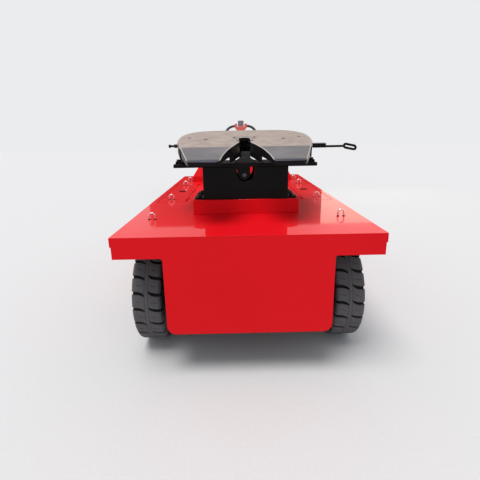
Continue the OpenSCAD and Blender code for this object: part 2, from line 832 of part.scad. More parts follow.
// Middle line of a groove from the tyre's middle past its shoulder: [across, along, half width]
groove_rows = [[9, 13, 4.5], [24, 2, 7], [46, -5, 7.5], [100, -7, 8.5]];
// Section of a rear tyre from the bead to the tread's middle: [part of the width, inward from the tread]
tyre_section = [[0.42, tyre_r - rim_r], [0.46, 110], [0.5, 55], [0.485, 16], [0.445, 4], [0.38, 0]];

function groove(s) = [for (p = concat([for (g = groove_rows) [g[0], g[1] + g[2]]],
                                      flip([for (g = groove_rows) [g[0], g[1] - g[2]]])))
                      [-s * p[0], -s * p[1]]];

// Rear tyre with its grooves
module tyre(s) {
    half = [for (p = tyre_section) [tyre_r - p[1], p[0] * tyre_w]];
    color(rubber) rear_origin() translate([s * track_half, axle_y, tyre_r]) rotate([0, 90, 0])
        difference() {
            rotate_extrude() polygon(concat(half, flip([for (p = half) [p[0], -p[1]]])));
            for (i = [0 : lugs - 1], d = [-1, 1])
                rotate(360 * (i + 0.5) / lugs - max(s, 0) * lug_turn)
                    translate([tyre_r - lug_h, 0, 0]) rotate([0, 90, 0])
                    linear_extrude(height = lug_h + 5 * cut) polygon(groove(d));
        }
}

module tyre_left() { tyre(-1); }
module tyre_right() { tyre(1); }

// Rear wheel: a rim with a dished disc on the axle's end
rim_well = 10;
disc_hole_r = 12;
module rim(s) {
    w = rim_w / 2;
    r = rim_r - run_gap;
    color(steel) rear_origin() translate([s * track_half, axle_y, tyre_r]) rotate([0, s * 90, 0])
        difference() {
            rotate_extrude()
                polygon([[stub_r + cut, -disc_t], [disc_r, -disc_t], [disc_r, rim_well - w], [r, -w], [r, w],
                         [disc_r, w - rim_well], [disc_r, 0], [stub_r + cut, 0]]);
            for (i = [0 : disc_holes - 1])
                rotate(360 * i / disc_holes) translate([disc_r - stub_r, 0, -disc_t - cut])
                    cylinder(h = disc_t + 2 * cut, r = disc_hole_r);
        }
}

module rim_left() { rim(-1); }
module rim_right() { rim(1); }

// Bearing above the steered wheels
module steer_ring() {
    color(steel) rear_origin() translate([0, steer_y, ring_h - ring_t]) difference() {
        cylinder(h = ring_t, r = ring_r);
        translate([0, 0, -cut]) cylinder(h = ring_t + 2 * cut, r = ring_bore_r);
    }
}

// Turntable, leg and column of the steered wheels
turn_gap = 0.5;
turn_t = 21.5;
neck_low = 60;
module steer_fork() {
    turn_z = ring_h - ring_t - turn_gap;
    color(black) rear_origin() translate([0, steer_y, 0]) difference() {
        union() {
            translate([0, 0, turn_z - turn_t]) cylinder(h = turn_t, r = ring_r);
            bx(-leg_t / 2, leg_t / 2, -leg_l / 2, leg_l / 2, steer_tyre_r, turn_z - turn_t);
            rod_x(-leg_t / 2, leg_t / 2, 0, steer_tyre_r, leg_l / 2);
            translate([0, 0, turn_z - cut]) cylinder(h = tiller_z - neck_low - turn_z + cut, r = column_r);
        }
        rod_x(-leg_t, leg_t, 0, steer_tyre_r, steer_axle_r + run_gap / 3);
    }
}

module front_axle() {
    end = steer_out - 4;
    color(steel) rear_origin() rod_x(-end, end, steer_y, steer_tyre_r, steer_axle_r);
}

// Middle and half width of a steered wheel
steer_x = (steer_in + steer_out) / 2;
steer_half = (steer_out - steer_in) / 2;

module front_rims() {
    w = steer_half - 5;
    color(steel) rear_origin() for (s = [-1, 1])
        translate([s * steer_x, steer_y, steer_tyre_r]) rotate([0, s * 90, 0]) difference() {
            cylinder(h = 2 * w, r = steer_rim_r - run_gap, center = true);
            cylinder(h = 3 * w, r = steer_axle_r + run_gap / 3, center = true);
            translate([0, 0, disc_t / 2]) cylinder(h = w, r = steer_rim_r - 25);
        }
}

// Half section of a steered tyre: [inward from the tread, inward from the side]
steer_section = [[steer_tyre_r - steer_rim_r, 4], [46, 0], [11, 4], [0, 16]];
module front_tyres() {
    half = [for (p = steer_section) [steer_tyre_r - p[0], steer_half - p[1]]];
    color(rubber) rear_origin() for (s = [-1, 1])
        translate([s * steer_x, steer_y, steer_tyre_r]) rotate([0, 90, 0])
            rotate_extrude() polygon(concat(half, flip([for (p = half) [p[0], -p[1]]])));
}

// Half of the hood's outline seen from behind: [part of the half width, part of the height]
hood_ends = [[1, 0], [1, 0.314], [0.896, 0.817], [0.855, 1]];
module hood_form(t) {
    half = [for (p = hood_ends) [hood_half * p[0] - t, min(hood_h * p[1], hood_h - t)]];
    intersection() {
        translate([0, hood_y + hood_l, deck_h]) rotate([90, 0, 0]) translate([0, 0, t])
            linear_extrude(height = hood_l - 2 * t) polygon(concat(half, mirrored(half)));
        translate([-hood_half, hood_y, deck_h]) rotate([90, 0, 90])
            linear_extrude(height = 2 * hood_half)
                polygon([[t, 0], [hood_l - t, 0], [hood_l - t, hood_h - t], [hood_lean + t, hood_h - t],
                         [t, hood_step]]);
    }
}

// Hood over the controls, behind the tiller
module hood() {
    color(red) rear_origin() difference() {
        hood_form(0);
        translate([0, 0, -cut / 100]) hood_form(hood_t);
    }
}

// Yoke at the top of the steering column
cheek_in = 30;
cheek_t = 16;
module tiller_base() {
    foot_z = deck_h + neck_gap + cut;
    color(black) rear_origin() difference() {
        union() {
            translate([0, steer_y, foot_z]) cylinder(h = tiller_z - 42 - foot_z, r = neck_r);
            for (s = [-1, 1])
                side_bx(s, cheek_in, cheek_in + cheek_t, steer_y - 40, tiller_y + 30,
                        tiller_z - neck_low, tiller_z + 30);
        }
        rod_x(-neck_r, neck_r, tiller_y, tiller_z, arm_pin_r + run_gap / 3);
        translate([0, steer_y, ring_h]) cylinder(h = tiller_z - neck_low - ring_h, r = column_r + run_gap);
    }
}

head_h = 52;
display_h = 66;
cap_z = tiller_top - display_h;
head_z = cap_z - head_h;
// Arm of the tiller
module tiller_arm() {
    color(black) rear_origin() translate([0, tiller_y, 0]) {
        bx(-arm_half, arm_half, -arm_half, arm_half, tiller_z - arm_half, head_z);
        rod_x(-cheek_in - cheek_t - 6, cheek_in + cheek_t + 6, 0, tiller_z, arm_pin_r);
    }
}

ear_x = 70;
// Right half of the tiller's head with its ear, seen from behind: [across, height]
head_half = [[34, head_z], [50, head_z + 18], [ear_x, cap_z - 8], [ear_x, cap_z + 26],
             [58, cap_z + 34], [48, cap_z + 14], [38, cap_z]];
head_l = 68;
// Head of the tiller with its two ears
module tiller_head() {
    color(red) rear_origin() translate([0, tiller_y + head_l / 2, 0]) rotate([90, 0, 0])
        linear_extrude(height = head_l) polygon(concat(head_half, mirrored(head_half)));
}

// Looped grips of the tiller: a wide bend from the ear, a tight bend, then a bar back to the arm
bend_r = 50;
bend = 68;
grip_bar = 132;
module tiller_grips() {
    color(black) rear_origin() translate([0, tiller_y, cap_z + 6 - grip_arc]) for (s = [0, 1])
        mirror([s, 0, 0]) {
            translate([ear_x, 0, 0]) rotate([90, 0, 0])
                rotate_extrude(angle = 90) translate([grip_arc, 0]) circle(r = grip_r);
            translate([ear_x + grip_arc - bend_r, 0, 0]) rotate([90, 0, 0]) rotate([0, 0, -bend]) {
                rotate_extrude(angle = bend + 6) translate([bend_r, 0]) circle(r = grip_r - 1.5);
                translate([bend_r, 3, 0]) rotate([90, 0, 0]) cylinder(h = grip_bar, r = grip_r - 3);
            }
        }
}

// Display on top of the tiller's head
display_half = [32, 28];
display_r = 10;
module head_display() {
    round_z = tiller_top - display_r;
    top_x = display_half[0] - display_r;
    color(steel) rear_origin() translate([0, tiller_y, 0]) {
        bx(-display_half[0], display_half[0], -display_half[1], display_half[1], cap_z, round_z);
        bx(-top_x, top_x, -display_half[1], display_half[1], round_z, tiller_top);
        for (s = [-1, 1]) difference() {
            rod_y(s * top_x, -display_half[1], display_half[1], round_z, display_r);
            bx(-tiller_top, tiller_top, -2 * display_half[1], 2 * display_half[1],
               round_z - 2 * display_r, round_z);
        }
    }
}

chassis_frame();
rear_panel();
front_panel();
deck_plate();
skirt_left();
skirt_right();
side_box_left();
side_box_right();
battery_left();
battery_right();
cover_left();
cover_right();
cover_handles_left();
cover_handles_right();
lifting_eyes();
plinth();
pedestal();
pedestal_feet();
lift_lug();
tilt_stop();
mounting_plate();
bearing_bracket_left();
bearing_bracket_right();
fifth_wheel_plate();
plate_ribs();
lock_jaw();
release_handle();
lever_stub();
rear_axle();
drive_motor();
tyre_left();
tyre_right();
rim_left();
rim_right();
steer_ring();
steer_fork();
front_axle();
front_rims();
front_tyres();
hood();
tiller_base();
tiller_arm();
tiller_head();
tiller_grips();
head_display();
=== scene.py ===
"""Looks of the walk-behind fifth wheel tug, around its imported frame. Metres, +Y forward, +Z up."""

import json
import math

import bmesh
import bpy
import numpy as np
from mathutils import Matrix, Vector


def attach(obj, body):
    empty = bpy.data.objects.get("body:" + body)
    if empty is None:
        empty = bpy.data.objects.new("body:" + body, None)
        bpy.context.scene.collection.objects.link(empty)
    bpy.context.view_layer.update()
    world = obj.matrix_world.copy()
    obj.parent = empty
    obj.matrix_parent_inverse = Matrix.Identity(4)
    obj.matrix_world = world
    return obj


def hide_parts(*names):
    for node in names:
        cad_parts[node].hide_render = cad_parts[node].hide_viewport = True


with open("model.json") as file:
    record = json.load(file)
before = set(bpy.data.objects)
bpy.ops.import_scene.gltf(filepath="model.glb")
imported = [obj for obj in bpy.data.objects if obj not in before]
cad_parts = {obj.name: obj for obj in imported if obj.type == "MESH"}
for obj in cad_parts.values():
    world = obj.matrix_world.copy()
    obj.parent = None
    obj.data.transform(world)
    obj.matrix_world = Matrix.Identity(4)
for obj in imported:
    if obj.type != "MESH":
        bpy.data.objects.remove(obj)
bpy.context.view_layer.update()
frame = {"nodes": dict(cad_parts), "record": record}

MM = 0.001
SIDES = ((-1, "left"), (1, "right"))


# Shader sockets
class Sock:
    """A socket of a material's tree. Arithmetic on it adds Math nodes, and add() adds any other
    node."""

    def __init__(self, tree, socket=None):
        self.tree, self.socket = tree, socket

    def add(self, kind, settings=None, inputs=None, out=0):
        """Adds a node of a kind: its settings first, then the values or links of its sockets."""
        node = self.tree.nodes.new("ShaderNode" + kind)
        for name, value in (settings or {}).items():
            setattr(node, name, value)
        for key, value in (inputs or {}).items():
            self.feed(node.inputs[key], value)
        return Sock(self.tree, node.outputs[out])

    def feed(self, target, value):
        """Links a socket, or sets a plain value."""
        if isinstance(value, Sock):
            self.tree.links.new(value.socket, target)
        else:
            target.default_value = value

    def math(self, operation, *values):
        """What a Math node makes of numbers or sockets."""
        return self.add("Math", {"operation": operation}, dict(enumerate(values)))

    def __add__(self, other):
        return self.math("ADD", self, other)

    def __radd__(self, other):
        return self.math("ADD", other, self)

    def __sub__(self, other):
        return self.math("SUBTRACT", self, other)

    def __rsub__(self, other):
        return self.math("SUBTRACT", other, self)

    def __mul__(self, other):
        return self.math("MULTIPLY", self, other)

    def __rmul__(self, other):
        return self.math("MULTIPLY", other, self)

    def __abs__(self):
        return self.math("ABSOLUTE", self)

    def square_root(self):
        return self.math("SQRT", self)

    def larger(self, other):
        """The larger of two numbers."""
        return self.math("MAXIMUM", self, other)

    def ramp(self, low, high):
        """0 below low and 1 above high, with a smooth step between."""
        return self.add("MapRange", {"interpolation_type": "SMOOTHSTEP"},
                        {"Value": self, "From Min": low, "From Max": high})

    def blend(self, a, b):
        """Colour a where this mask is 0 and colour b where it is 1."""
        return self.add("Mix", {"data_type": "RGBA"}, {"Factor": self, 6: a, 7: b}, out=2)


class Finish:
    """A material with its Principled shader: set() gives constants, and link() what varies over
    the surface."""

    def __init__(self, name):
        self.material = bpy.data.materials.new(name)
        self.material.use_nodes = True
        tree = self.material.node_tree
        self.shader = tree.nodes["Principled BSDF"]
        self.root = Sock(tree)
        self.place = self.root.add("TexCoord", out=3)

    def set(self, **values):
        for name, value in values.items():
            self.shader.inputs[name.replace("_", " ")].default_value = value

    def link(self, **sockets):
        for name, sock in sockets.items():
            self.root.feed(self.shader.inputs[name.replace("_", " ")], sock)

    def noise(self, scale, detail, stretch=(1, 1, 1), rough=0.55):
        """Noise from 0 to 1 at a scale per metre, stretched along the axes."""
        at = self.root.add("Mapping", None, {"Vector": self.place, "Scale": stretch})
        return self.root.add("TexNoise", None, {"Vector": at, "Scale": scale, "Detail": detail,
                                                "Roughness": rough})

    def axes(self):
        """The three coordinates of the surface, in metres."""
        return [self.root.add("SeparateXYZ", None, {"Vector": self.place}, out=i)
                for i in range(3)]

    def facing(self, way):
        """How far the surface turns towards a direction, from -1 to 1."""
        normal = self.root.add("TexCoord", out=1)
        return self.root.add("VectorMath", {"operation": "DOT_PRODUCT"}, {0: normal, 1: way}, out=1)

    def mark(self, name):
        """A number from 0 to 1 that a piece's mesh carries."""
        return self.root.add("Attribute", {"attribute_name": name}, out=2)

    def bump(self, height, strength, distance):
        """Lets a height, in parts of a distance in metres, tilt the normals."""
        self.link(Normal=self.root.add("Bump", None, {"Height": height, "Strength": strength,
                                                      "Distance": distance}))


def rgb(red, green, blue):
    return (red, green, blue, 1.0)


# Finishes
def red_paint(name="red_gloss", light=(0.66, 0.005, 0.0105), deep=(0.585, 0.0035, 0.0075)):
    """Gloss two-pack paint on sheet steel: orange peel, faint cloudiness, and road dust low
    down."""
    f = Finish(name)
    height = f.axes()[2]
    cloud = f.noise(2.2, 4.0)
    peel = f.noise(260.0, 2.0)
    low = 1.0 - height.ramp(0.24, 0.42)
    dust = f.noise(55.0, 5.0).ramp(0.5, 0.8) * (0.05 + 0.22 * low)
    up = f.facing((0, 0, 1)).ramp(0.1, 0.9)
    clean = cloud.blend(rgb(*deep), rgb(*light))
    f.link(Base_Color=dust.blend(clean, rgb(0.32, 0.06, 0.05)))
    f.link(Roughness=0.4 + 0.2 * dust, Coat_Weight=0.1 + 0.45 * up)
    f.set(Coat_Roughness=0.045, Coat_IOR=1.45, Specular_IOR_Level=0.05)
    f.bump(peel * 0.6 + cloud * 2.0, 0.05, 0.001)
    return f.material


def black_paint(name="black_gloss", dark=(0.002, 0.0017, 0.002), scuffed=(0.012, 0.011, 0.011)):
    """Semi-gloss black paint with fine scuffs."""
    f = Finish(name)
    wear = f.noise(55.0, 6.0, (1, 1, 2.5)).ramp(0.6, 0.82)
    f.link(Base_Color=wear.blend(rgb(*dark), rgb(*scuffed)))
    f.link(Roughness=0.26 + 0.25 * wear)
    f.set(Specular_IOR_Level=0.1)
    f.bump(f.noise(180.0, 3.0), 0.12, 0.0008)
    return f.material


# The fifth wheel at rest, in radians and metres: its tilt, its pivot, the kingpin's seat along the
# plate, and the stretches of Y where the ramps' painted reflection and their ends' painted shade set
# in
PLATE_TILT = math.radians(9)
PIVOT = (-0.616, 1.198)
SEAT = 0.0567
RAMP_START = (-0.872, -0.852)
RAMP_END = (-1.088, -1.050)
# The plate's own directions: up from its face, and back along it
UP = (0, -math.sin(PLATE_TILT), math.cos(PLATE_TILT))
BACK = (0, -math.cos(PLATE_TILT), -math.sin(PLATE_TILT))
# Grease holes in its top, across and along in millimetres, and the distances in metres over
# which the grease round each fades
GREASE_HOLES = [(372, 92.7), (256, 19.7), (68, 88.7)]
GREASE_RING = (0.0115, 0.0155)


def worn_steel():
    """Cast steel plate: a face worn to a warm grey, ramps in a cooler grey that is painted
    reflection, their rolled ends in a dark blue painted shade, pale edges that are partly wear and
    partly painted highlight, grease round the seat and the holes, and sides in near black painted
    shade, with a lighter painted light on the outward walls."""
    f = Finish("worn_plate")
    x, y, z = f.axes()
    wide = abs(x)
    along = (y - PIVOT[0]) * math.cos(PLATE_TILT) + (z - PIVOT[1]) * math.sin(PLATE_TILT)
    up = f.facing(UP)
    top = up.ramp(0.2, 0.5)
    edge = top * (1.0 - up.ramp(0.95, 0.985))
    cloud = f.noise(13.0, 7.0, (1.0, 1.5, 1.0), 0.6)
    grain = f.noise(160.0, 3.0, (0.25, 2.0, 1.0))
    blotch = f.noise(5.5, 6.0).ramp(0.42, 0.68)
    # Painted reflection: the ramps are painted a cooler grey than the face, for the light that they
    # reflect
    ramps = 1.0 - y.ramp(*RAMP_START)
    # Painted shade: the ramps' rolled ends, where the rim turns down, are painted dark blue
    end = 1.0 - y.ramp(*RAMP_END)
    warm = cloud.ramp(0.3, 0.7).blend(rgb(0.28, 0.221, 0.197), rgb(0.378, 0.306, 0.273))
    ramp_reflection_grey = blotch.blend(rgb(0.14, 0.13, 0.138), rgb(0.178, 0.164, 0.172))
    face = ramps.blend(warm, end.blend(ramp_reflection_grey, rgb(0.014, 0.017, 0.036)))
    # Pale edges on the face: partly wear, partly a painted highlight on the rounded rims, left off
    # the ramps' shaded ends
    face = (edge * (1.0 - 0.9 * end)).blend(face, rgb(0.47, 0.42, 0.39))
    off = along - SEAT
    from_seat = (x * x + off * off).square_root()
    smear = (1.0 - from_seat.ramp(0.045, 0.11)) * f.noise(24.0, 6.0).ramp(0.3, 0.75)
    spots = f.noise(17.0, 6.0).ramp(0.66, 0.84) * 0.3
    grease = spots.larger(smear * 0.7)
    for hole_x, hole_v in GREASE_HOLES:
        dx, dv = wide - hole_x * MM, along - hole_v * MM
        from_hole = (dx * dx + dv * dv).square_root()
        grease = grease.larger(1.0 - from_hole.ramp(*GREASE_RING))
    # Painted shade and light on the sides: walls under the plate and round its ends are painted near
    # black, and the walls facing outwards far out are painted a lighter grey
    lit_outer_wall = abs(f.facing((1, 0, 0))).ramp(0.5, 0.75) * wide.ramp(0.24, 0.3)
    side = lit_outer_wall.blend(rgb(0.004, 0.0035, 0.004), rgb(0.062, 0.052, 0.053))
    f.link(Base_Color=top.blend(side, grease.blend(face, rgb(0.07, 0.056, 0.048))))
    f.link(Roughness=0.46 + 0.16 * cloud - 0.1 * ramps)
    f.link(Metallic=(0.5 - 0.35 * grease) * top)
    f.set(Specular_IOR_Level=0.12)
    f.bump(grain * 0.5 + f.noise(45.0, 4.0), 0.22, 0.0012)
    return f.material


def chrome():
    """Polished chrome on wire."""
    f = Finish("bright_chrome")
    haze = f.noise(120.0, 3.0)
    f.link(Base_Color=haze.blend(rgb(0.62, 0.62, 0.65), rgb(0.8, 0.8, 0.82)))
    f.link(Roughness=0.07 + 0.1 * haze)
    f.set(Metallic=1.0)
    return f.material


def wheel_paint():
    """Satin dark wheel paint with road dust."""
    f = Finish("wheel_satin")
    dust = f.noise(26.0, 5.0).ramp(0.4, 0.75)
    f.link(Base_Color=dust.blend(rgb(0.035, 0.035, 0.04), rgb(0.11, 0.10, 0.095)))
    f.link(Roughness=0.4 + 0.3 * dust)
    f.bump(f.noise(90.0, 3.0), 0.15, 0.001)
    return f.material


def rubber():
    """Solid rubber: dusty lugs, and painted shade, near black, in the grooves, slits and notches and
    along the rib's edges, which the mesh marks.
    """
    f = Finish("tyre_rubber")
    worn = f.noise(30.0, 5.0)
    fine = f.noise(240.0, 3.0)
    lug = worn.blend(rgb(0.064, 0.06, 0.065), rgb(0.098, 0.092, 0.099))
    # Painted shade: the groove mark turns the rubber near black
    f.link(Base_Color=f.mark("groove").blend(lug, rgb(0.002, 0.002, 0.002)))
    f.link(Roughness=0.62 + 0.2 * worn)
    f.set(Specular_IOR_Level=0.3)
    f.bump(fine + worn, 0.35, 0.0012)
    return f.material


def moulded(name, scale, dark, light, smooth, rougher, strength):
    """Grained plastic: it gets lighter and rougher with the height of its grain."""
    f = Finish(name)
    grain = f.noise(scale, 2.0)
    f.link(Base_Color=grain.blend(rgb(*dark), rgb(*light)))
    f.link(Roughness=smooth + rougher * grain)
    f.bump(grain, strength, 0.0005)
    return f.material


FINISHES = {
    "red_paint": red_paint(), "black_paint": black_paint(), "worn_steel": worn_steel(),
    "chrome": chrome(), "wheel_paint": wheel_paint(), "tyre": rubber(),
    "black_plastic": moulded("black_moulded", 520.0, (0.018, 0.018, 0.02), (0.035, 0.034, 0.037),
                             0.42, 0.15, 0.25),
    "grey_plastic": moulded("grey_moulded", 420.0, (0.15, 0.14, 0.17), (0.19, 0.18, 0.21),
                            0.38, 0.12, 0.2)}
# The tiller's head is a paler red, partly fading and partly painted sheen of bright light, and the
# tilt stop a paler black, partly dust and partly painted highlight
HEAD_RED = red_paint("faded_sheen_red", (0.64, 0.18, 0.145), (0.56, 0.125, 0.105))
# Painted highlight: the tilt stop's black is paler and more scuffed, partly dust and partly the
# light on its edges
DUSTY_SHEEN_BLACK = black_paint("dusty_sheen_black", (0.026, 0.024, 0.026), (0.06, 0.056, 0.056))
OWN_FINISH = {"tiller_head": HEAD_RED, "tilt_stop": DUSTY_SHEEN_BLACK}
SLOT_OF = {row["node"]: row["material_slot"] for row in frame["record"]["subparts"]}
BODY_OF = {node: body for body, nodes in frame["record"]["behaviour"]["bodies"].items()
           for node in nodes}


def dress(obj, slot, finish=None):
    """Gives a piece the finish of its slot, or one of its own."""
    obj.data.materials.clear()
    obj.data.materials.append(finish or FINISHES[slot])


# Pieces

# The angle over which an edge counts as sharp, and the one under which two faces count as one
SHARP, FLAT = math.radians(35), math.radians(1)


def placed(name, mesh):
    """A new object for a mesh, smooth but for its sharp edges."""
    mesh.shade_smooth()
    mesh.set_sharp_from_angle(angle=SHARP)
    obj = bpy.data.objects.new(name, mesh)
    bpy.context.scene.collection.objects.link(obj)
    return obj


def outward(mesh):
    """Turns every face of a closed mesh outwards."""
    bm = bmesh.new()
    bm.from_mesh(mesh)
    bmesh.ops.recalc_face_normals(bm, faces=bm.faces)
    bm.to_mesh(mesh)
    bm.free()


def piece(name, verts, faces, body, slot, finish=None):
    """A closed mesh from arrays of corners and faces, riding on a body."""
    mesh = bpy.data.meshes.new(name)
    mesh.from_pydata(verts.tolist(), [], faces)
    mesh.update()
    obj = placed(name, mesh)
    outward(mesh)
    dress(obj, slot, finish)
    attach(obj, body)
    return obj


def softened(node, width, segments=3, merge=0.01, pick=None):
    """Stands for a CAD node with a copy whose sharp edges are rounded, as pressed and cast edges
    are. Corners closer than merge are joined, and pick can choose the edges from the corners'
    places."""
    mesh = frame["nodes"][node].data.copy()
    bm = bmesh.new()
    bm.from_mesh(mesh)
    bmesh.ops.remove_doubles(bm, verts=bm.verts, dist=merge * MM)
    bmesh.ops.dissolve_limit(bm, angle_limit=FLAT, verts=bm.verts, edges=bm.edges)
    bm.to_mesh(mesh)
    bm.free()
    mesh.name = node + "_soft"
    obj = placed(node + "_soft", mesh)
    bevel = obj.modifiers.new("edges", "BEVEL")
    bevel.width = width * MM
    bevel.segments = segments
    bevel.harden_normals = True
    if pick:
        weigh_edges(mesh, pick)
        bevel.limit_method = "WEIGHT"
    else:
        bevel.limit_method = "ANGLE"
        bevel.angle_limit = SHARP
    dress(obj, SLOT_OF[node], OWN_FINISH.get(node))
    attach(obj, BODY_OF[node])
    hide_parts(node)


def weigh_edges(mesh, pick):
    """Marks for rounding the sharp edges whose two corners are both picked."""
    corners = np.empty(len(mesh.vertices) * 3)
    mesh.vertices.foreach_get("co", corners)
    ends = np.empty(len(mesh.edges) * 2, int)
    mesh.edges.foreach_get("vertices", ends)
    sharp = np.empty(len(mesh.edges), bool)
    mesh.attributes["sharp_edge"].data.foreach_get("value", sharp)
    picked = pick(corners.reshape(-1, 3) / MM)[ends.reshape(-1, 2)].all(1) & sharp
    weights = mesh.attributes.new("bevel_weight_edge", "FLOAT", "EDGE")
    weights.data.foreach_set("value", picked.astype(float))


# The fifth wheel's face over its pivot, where the ramps start along it, their slope, and how far
# edges stay clear of the grease holes and close to the face to be rounded
FACE_W = 75.0
RAMP_V = -238.3
RAMP_SLOPE = math.tan(math.radians(7))
HOLE_CLEAR = 13.0
FACE_NEAR = 1.0


def on_face(places):
    """Corners on the plate's top or on its ramps, away from the grease holes."""
    x, y, z = places.T
    y, z = y - PIVOT[0] / MM, z - PIVOT[1] / MM
    v = y * math.cos(PLATE_TILT) + z * math.sin(PLATE_TILT)
    w = z * math.cos(PLATE_TILT) - y * math.sin(PLATE_TILT)
    surface = FACE_W - np.maximum(RAMP_V - v, 0) * RAMP_SLOPE
    holes = [np.hypot(np.abs(x) - hole_x, v - hole_v) for hole_x, hole_v in GREASE_HOLES]
    return (np.abs(w - surface) < FACE_NEAR) & (np.min(holes, axis=0) > HOLE_CLEAR)


# Nodes whose sharp edges are rounded, by the radius in millimetres
SOFT_EDGES = [("rear_panel", 1.5), ("front_panel", 1.5), ("deck_plate", 2.0), ("plinth", 2.5),
              ("pedestal", 2.0), ("mounting_plate", 2.0), ("hood", 1.8), ("lock_jaw", 3.0),
              ("tilt_stop", 4.0), ("lift_lug", 2.0), ("tiller_head", 5.0), ("head_display", 3.0),
              ("rim_left", 3.0), ("rim_right", 3.0), ("front_rims", 3.0), ("tiller_arm", 3.0),
              ("tiller_base", 2.5), ("release_handle", 1.5), ("lever_stub", 1.5),
              ("pedestal_feet", 1.2), ("side_box_left", 1.5), ("side_box_right", 1.5),
              ("skirt_left", 1.2), ("skirt_right", 1.2)]

for node, obj in frame["nodes"].items():
    dress(obj, SLOT_OF[node])
for node, width in SOFT_EDGES:
    softened(node, width)
softened("fifth_wheel_plate", 8.0, segments=4, merge=1.2, pick=on_face)


# Wheels

# Rear tyres, in millimetres: pitches of the tread, its radius, that of the grooves' floor, and
# the right wheel's middle
PITCHES = 22
TREAD_R = 332.0
GROOVE_FLOOR = 314.0
AXLE = (588.0, -788.0, 332.0)
# Middle line of a groove from the edge of the middle rib: across, along, half width
GROOVE_LINE = np.array([(9, 13, 3.5), (24, 2, 8.5), (46, -5, 9.5), (100, -7, 10.5)], float)
# Half of a rear tyre's section from the tread's middle to the bead's middle: radius, across
SECTION = [(332, 0), (332, 4), (332, 9), (330.8, 9.7), (330.8, 11.2), (332, 12), (332, 16),
           (332, 20), (332, 24), (332, 28), (332, 33), (332, 38), (332, 43), (332, 48), (332, 53),
           (332, 56), (332, 59), (332, 63), (332, 66.9), (331, 71), (329.4, 75), (327.3, 78.7),
           (324, 81.6), (319.5, 84.2), (314.5, 85.5), (306, 86.2), (296, 86.7), (285, 87.4),
           (279, 88), (274, 87.8), (262, 86.2), (250, 84.6), (246, 84.9), (242, 83.4),
           (228, 81.6), (214, 79), (198, 75.6), (190.5, 73.8), (190.3, 60), (190.3, 0)]
# Columns of one pitch, from the groove's middle: own place, share of the groove's half width,
# depth of the groove and depth of the slit in the lug, both from 0 to 1
HALF_PITCH = math.pi * TREAD_R / PITCHES
COLUMNS = np.array([
    (-HALF_PITCH, 0, 0, 1), (1.1 - HALF_PITCH, 0, 0, 0.1), (2.2 - HALF_PITCH, 0, 0, 0),
    (14 - HALF_PITCH, 0, 0, 0), (-20, -0.5, 0, 0), (-6, -1, 0, 0), (-1.6, -1, 0, 0),
    (0.2, -1, 0.1, 0), (2.0, -1, 1, 0), (0, 0, 1, 0), (-2.0, 1, 1, 0), (-0.2, 1, 0.1, 0),
    (1.6, 1, 0, 0), (6, 1, 0, 0), (20, 0.5, 0, 0), (HALF_PITCH - 14, 0, 0, 0),
    (HALF_PITCH - 2.2, 0, 0, 0), (HALF_PITCH - 1.1, 0, 0, 0.1)])
# Radius of the bead, and the height over which the columns begin to follow the groove
BEAD_R, LEAN = 190.0, 110.0
# Width over which a groove opens beside the rib, and the radius above which it may
GROOVE_EASE, GROOVE_FROM = 1.5, 200.0
# Slit in the middle of a lug: across from and to, the radius above which it is cut, its depth
SLIT_FROM, SLIT_TO, SLIT_R, SLIT_DEPTH = 26.0, 57.0, 331.0, 6.0
# Notch in the shoulder: the radius where it starts, the height over which it deepens, how far
# out it is, and its depth
NOTCH_R, NOTCH_RISE, NOTCH_ACROSS, NOTCH_DEPTH = 284.0, 22.0, 78.0, 6.0
# Shade along the rib's edge: how far out and above which radius it goes, and how dark it is
RIB_OUT, RIB_R, RIB_SHADE = 12.0, 329.0, 0.45


def grid_faces(rows, columns):
    """Quads of a grid that closes on itself both ways."""
    i, j = np.meshgrid(np.arange(rows), np.arange(columns), indexing="ij")
    a, b = (i + 1) % rows, (j + 1) % columns
    quads = [i * columns + j, a * columns + j, a * columns + b, i * columns + b]
    return np.stack(quads, -1).reshape(-1, 4).tolist()


def around(angles):
    """Angles of a full turn, in equal steps."""
    return np.arange(angles) / angles * 2 * math.pi


